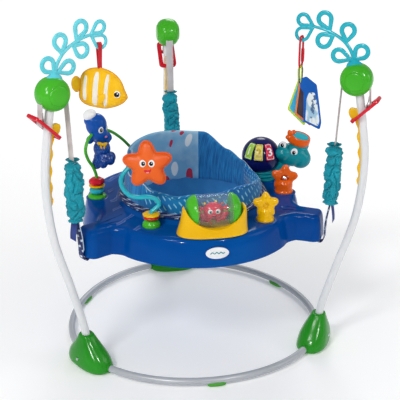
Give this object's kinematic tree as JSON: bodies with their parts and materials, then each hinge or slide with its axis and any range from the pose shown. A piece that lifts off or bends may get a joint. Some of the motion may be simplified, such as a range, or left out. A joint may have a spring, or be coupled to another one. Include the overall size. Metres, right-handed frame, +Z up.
{
  "type": "activity jumper",
  "caption": "Baby activity jumper: tube frame with three arms, a toy tray and a turning fabric seat hung on sprung straps, with hanging and tray-top toys.",
  "frame": {"origin": "centre of the bounding box's bottom face, on the floor", "axes": "+Z up, +Y towards the back arm, -Y towards the front of the tray"},
  "size_m": [0.816, 0.796, 0.8664],
  "materials": {
    "white_tube": "white powder coat, satin",
    "green_plastic": "glossy leaf green",
    "green_rubber": "matt green",
    "yellow_plastic": "glossy yellow",
    "red_plastic": "glossy red",
    "webbing": "flat woven grey webbing",
    "spring_steel": "bare spring wire",
    "teal_fabric": "gathered thin cloth",
    "navy_fabric": "printed cloth over webbing",
    "tray_plastic": "glossy royal blue",
    "seat_fabric": "padded polyester, printed",
    "cyan_plastic": "pale cyan",
    "aqua_plastic": "aqua",
    "plush": "short-pile plush",
    "page_fabric": "printed cloth pages",
    "window": "clear plastic",
    "teal_soft": "soft smooth tube",
    "orange_soft": "soft matt orange",
    "orange_plastic": "glossy orange",
    "mirror_face": "silvered ball",
    "teal_plastic": "glossy teal",
    "blue_plastic": "glossy blue",
    "navy_plastic": "glossy dark blue",
    "button_lime": "translucent lime",
    "button_yellow": "translucent yellow",
    "button_pink": "translucent pink-red"
  },
  "bodies": {
    "frame": {"base_ring": "white_tube", "foot_left": "green_plastic", "foot_right": "green_plastic", "foot_back": "green_plastic", "pad_left": "green_rubber", "pad_right": "green_rubber", "pad_front": "green_rubber", "arm_left": "white_tube", "arm_right": "white_tube", "arm_back": "white_tube", "hub_left": "green_plastic", "hub_right": "green_plastic", "hub_back": "green_plastic", "rack_left": "yellow_plastic", "rack_right": "yellow_plastic", "rack_back": "yellow_plastic", "kelp_left": "cyan_plastic", "kelp_right": "aqua_plastic", "strap_outer_left": "webbing", "strap_outer_right": "webbing", "strap_outer_back": "webbing"},
    "hangers": {"strap_inner_left": "webbing", "strap_inner_right": "webbing", "strap_inner_back": "webbing", "spring_left": "spring_steel", "spring_right": "spring_steel", "spring_back": "spring_steel", "sleeve_left": "teal_fabric", "sleeve_right": "teal_fabric", "sleeve_back": "teal_fabric"},
    "tray": {"tray": "tray_plastic", "tab_left": "navy_fabric", "tab_right": "navy_fabric", "tab_back": "navy_fabric", "drum_cradle": "yellow_plastic", "star_base": "green_plastic", "arch": "green_plastic", "turtle_body": "teal_plastic", "turtle_shell": "navy_plastic", "mirror_star": "orange_plastic"},
    "seat": {"seat": "seat_fabric"},
    "drum": {"drum_core": "green_plastic", "drum_window": "window"},
    "star": {"star_stalk": "teal_soft", "star": "orange_soft"},
    "star_rings": {"star_rings": "red_plastic"},
    "bead_ball": {"bead_ball": "teal_plastic"},
    "bead_petals": {"bead_petals": "red_plastic"},
    "octopus": {"octopus": "blue_plastic"},
    "post_star": {"post_star": "yellow_plastic"},
    "mirror_ball": {"mirror_ball": "mirror_face"},
    "button_1": {"button_1": "button_lime"},
    "button_2": {"button_2": "button_yellow"},
    "button_3": {"button_3": "button_pink"},
    "fish": {"fish": "plush"},
    "link": {"link": "red_plastic"},
    "book": {"book": "page_fabric"},
    "adjuster_left": {"adjuster_left": "red_plastic"},
    "adjuster_right": {"adjuster_right": "red_plastic"},
    "adjuster_back": {"adjuster_back": "red_plastic"}
  },
  "joints": [
    {"name": "height_adjust", "type": "slide", "parent": "frame", "child": "hangers", "axis": [0, 0, 1], "range_m": [0, 0.076], "deforming": ["strap_inner_left", "strap_inner_right", "strap_inner_back"]},
    {"name": "adjuster_left_slide", "type": "slide", "parent": "frame", "child": "adjuster_left", "axis": [-0.1368, -0.079, -0.9874], "range_m": [0, 0.076], "deforming": ["strap_outer_left"]},
    {"name": "adjuster_right_slide", "type": "slide", "parent": "frame", "child": "adjuster_right", "axis": [0.1368, -0.079, -0.9874], "range_m": [0, 0.076], "deforming": ["strap_outer_right"]},
    {"name": "adjuster_back_slide", "type": "slide", "parent": "frame", "child": "adjuster_back", "axis": [0, 0.158, -0.9874], "range_m": [0, 0.076], "deforming": ["strap_outer_back"]},
    {"name": "bounce", "type": "slide", "parent": "hangers", "child": "tray", "axis": [0, 0, 1], "range_m": [-0.08, 0.05], "stiffness_N_per_m": 1450, "springref_m": 0.0303, "deforming": ["spring_left", "spring_right", "spring_back", "sleeve_left", "sleeve_right", "sleeve_back"]},
    {"name": "seat_spin", "type": "hinge", "parent": "tray", "child": "seat", "pos_m": [0, -0.06396, 0.38], "axis": [0, 0, 1], "continuous": true},
    {"name": "drum_spin", "type": "hinge", "parent": "tray", "child": "drum", "pos_m": [0.008, -0.28896, 0.417], "axis": [1, 0, 0], "continuous": true},
    {"name": "star_swivel", "type": "hinge", "parent": "tray", "child": "star", "pos_m": [-0.133, -0.23996, 0.39], "axis": [0, 0, 1], "range_deg": [-25, 25], "stiffness_Nm_per_rad": 0.6},
    {"name": "star_rings_spin", "type": "hinge", "parent": "tray", "child": "star_rings", "pos_m": [-0.133, -0.23996, 0.39], "axis": [0, 0, 1], "continuous": true},
    {"name": "bead_ball_spin", "type": "hinge", "parent": "tray", "child": "bead_ball", "pos_m": [-0.245, -0.02896, 0.387], "axis": [0, 0, 1], "continuous": true},
    {"name": "bead_petals_spin", "type": "hinge", "parent": "tray", "child": "bead_petals", "pos_m": [-0.245, -0.02896, 0.408], "axis": [0, 0, 1], "continuous": true},
    {"name": "octopus_swing", "type": "hinge", "parent": "tray", "child": "octopus", "pos_m": [-0.24, -0.02396, 0.543], "axis": [0.6392, 0.769, 0], "range_deg": [-14, 14]},
    {"name": "post_star_spin", "type": "hinge", "parent": "tray", "child": "post_star", "pos_m": [0.145, -0.25396, 0.39], "axis": [0, 0, 1], "continuous": true},
    {"name": "mirror_ball_spin", "type": "hinge", "parent": "tray", "child": "mirror_ball", "pos_m": [0.24, -0.07996, 0.407], "axis": [0, 0, 1], "continuous": true},
    {"name": "button_1_press", "type": "slide", "parent": "tray", "child": "button_1", "axis": [0.732, 0.4937, -0.4695], "range_m": [0, 0.0025], "stiffness_N_per_m": 400, "springref_m": -0.0012},
    {"name": "button_2_press", "type": "slide", "parent": "tray", "child": "button_2", "axis": [0.3308, 0.8187, -0.4695], "range_m": [0, 0.0025], "stiffness_N_per_m": 400, "springref_m": -0.0012},
    {"name": "button_3_press", "type": "slide", "parent": "tray", "child": "button_3", "axis": [-0.2285, 0.8529, -0.4695], "range_m": [0, 0.0025], "stiffness_N_per_m": 400, "springref_m": -0.0012},
    {"name": "fish_swing", "type": "hinge", "parent": "frame", "child": "fish", "pos_m": [-0.23902, -0.20196, 0.803], "axis": [-0.866, -0.5, 0], "range_deg": [-12, 12]},
    {"name": "link_swing", "type": "hinge", "parent": "frame", "child": "link", "pos_m": [0.23383, -0.19896, 0.8], "axis": [0.866, -0.5, 0], "range_deg": [-10, 10]},
    {"name": "book_swing", "type": "hinge", "parent": "link", "child": "book", "pos_m": [0.23383, -0.19896, 0.733], "axis": [0.766, 0.6428, 0], "range_deg": [-12, 12]}
  ],
  "couplings": [
    {"joint": "adjuster_left_slide", "follows": "height_adjust", "ratio": 1},
    {"joint": "adjuster_right_slide", "follows": "height_adjust", "ratio": 1},
    {"joint": "adjuster_back_slide", "follows": "height_adjust", "ratio": 1}
  ]
}
